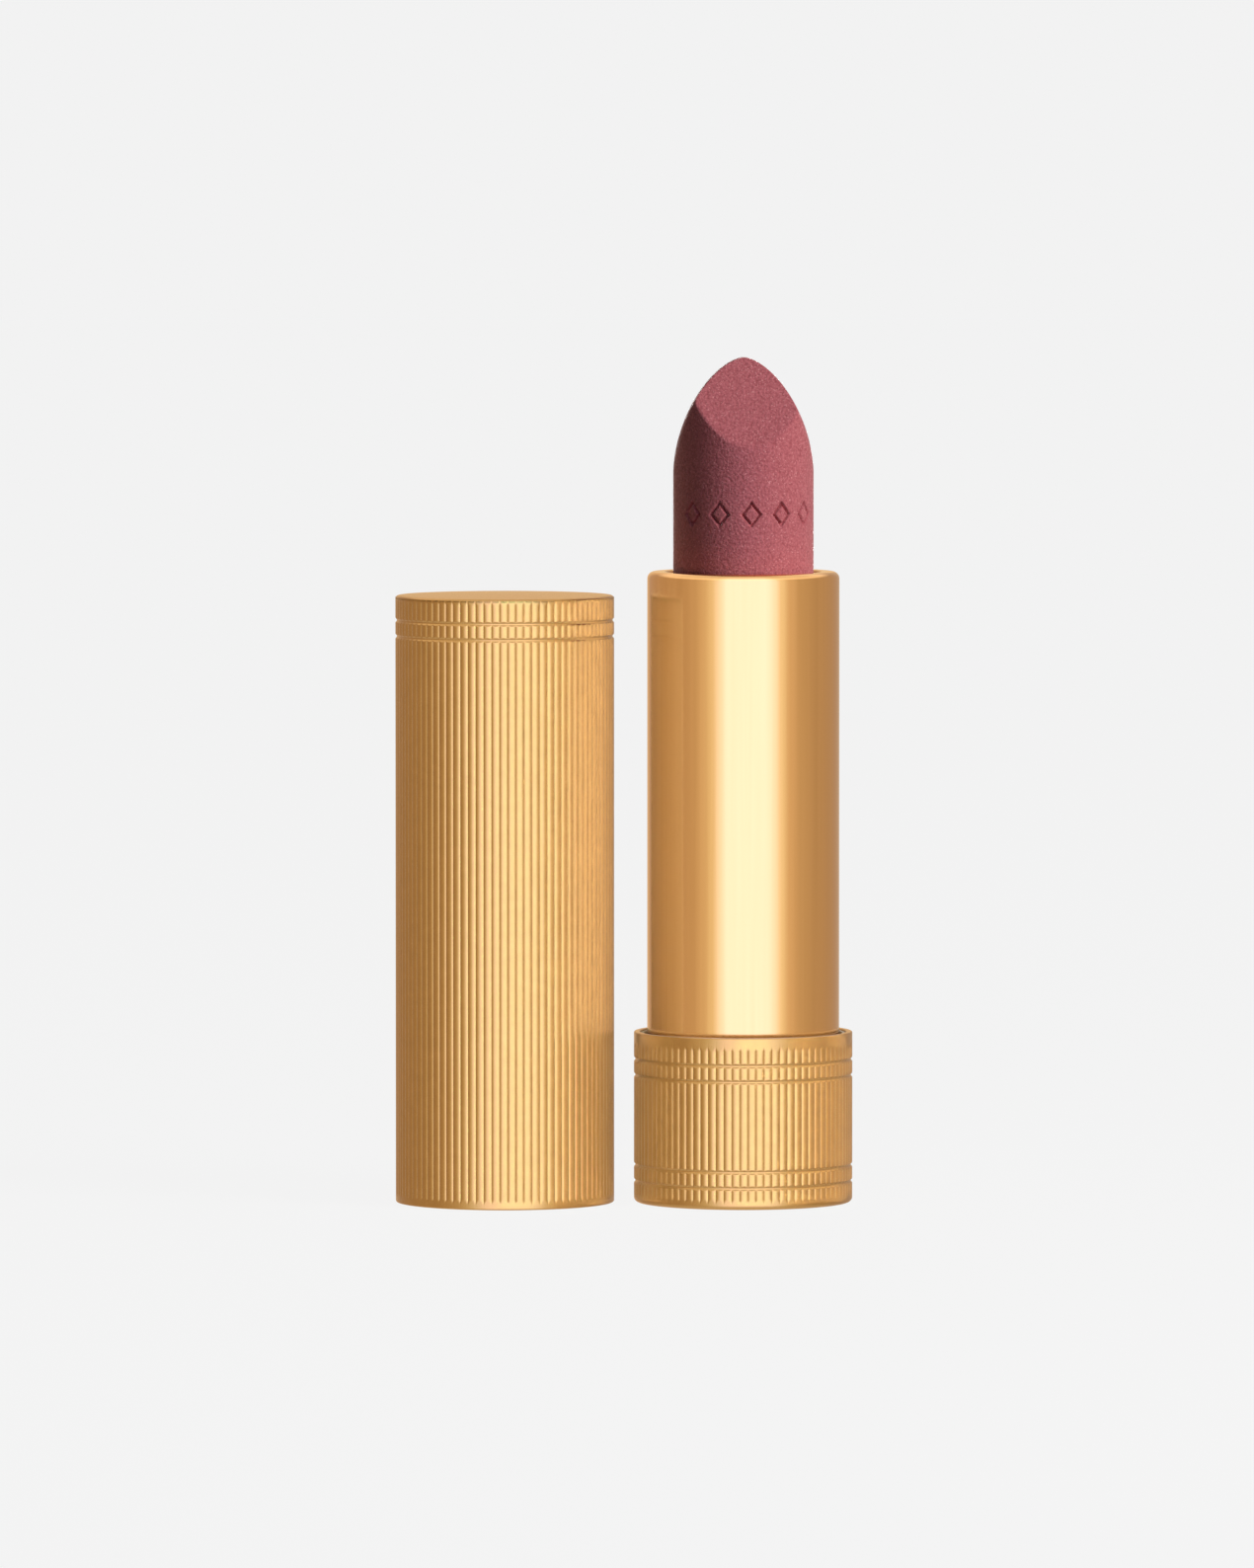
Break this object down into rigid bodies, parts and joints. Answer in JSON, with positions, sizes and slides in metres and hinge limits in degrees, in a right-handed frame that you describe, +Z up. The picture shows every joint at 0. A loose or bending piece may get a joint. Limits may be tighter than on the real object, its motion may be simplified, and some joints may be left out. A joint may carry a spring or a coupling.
{
  "type": "lipstick case",
  "caption": "Twist-up lipstick case with its cap off: a fluted base, a smooth barrel that turns on it, a slanted bullet wound out, and the fluted cap standing beside it.",
  "frame": {"origin": "on the surface that the case and its cap stand on, midway between the case's axis (x = +10.8 mm) and the cap's axis (x = -10.8 mm)", "axes": "+Z up along the case, +X from the cap to the case, -Y the front, which the bullet's slanted face looks towards"},
  "size_m": [0.0414, 0.0198, 0.0766],
  "materials": {
    "fluted_gold": "satin gold anodised, fluted",
    "barrel_gold": "smooth satin gold anodised",
    "core_plastic": "matte",
    "dark_plastic": "matte black moulded",
    "spiral_plastic": "smooth moulded",
    "weight_steel": "turned",
    "pad_foam": "closed-cell foam",
    "brake_rubber": "matte silicone rubber",
    "label_film": "matte film",
    "bullet_wax": "matte wax"
  },
  "bodies": {
    "base": {"base_shell": "fluted_gold", "base_core": "core_plastic", "base_weight": "weight_steel", "base_pad": "pad_foam", "foot_label": "label_film", "chassis": "dark_plastic", "brake_ring": "brake_rubber"},
    "barrel": {"barrel_shell": "barrel_gold", "spiral": "spiral_plastic"},
    "carrier": {"cup": "dark_plastic", "bullet": "bullet_wax"},
    "cap": {"cap_shell": "fluted_gold", "cap_liner": "dark_plastic", "cap_weight": "weight_steel", "cap_pad": "pad_foam"}
  },
  "joints": [
    {"name": "barrel_twist", "type": "hinge", "parent": "base", "child": "barrel", "pos_m": [0.0108, 0, 0.0122], "axis": [0, 0, 1], "range_deg": [0, 540]},
    {"name": "carrier_slide", "type": "slide", "parent": "base", "child": "carrier", "axis": [0, 0, 1], "range_m": [-0.0211, 0]},
    {"name": "cap_lift", "type": "slide", "parent": "base", "child": "cap", "axis": [0, 0, 1], "range_m": [0, 0.08]}
  ],
  "couplings": [
    {"joint": "carrier_slide", "follows": "barrel_twist", "m_per_rad": -0.0022282}
  ]
}
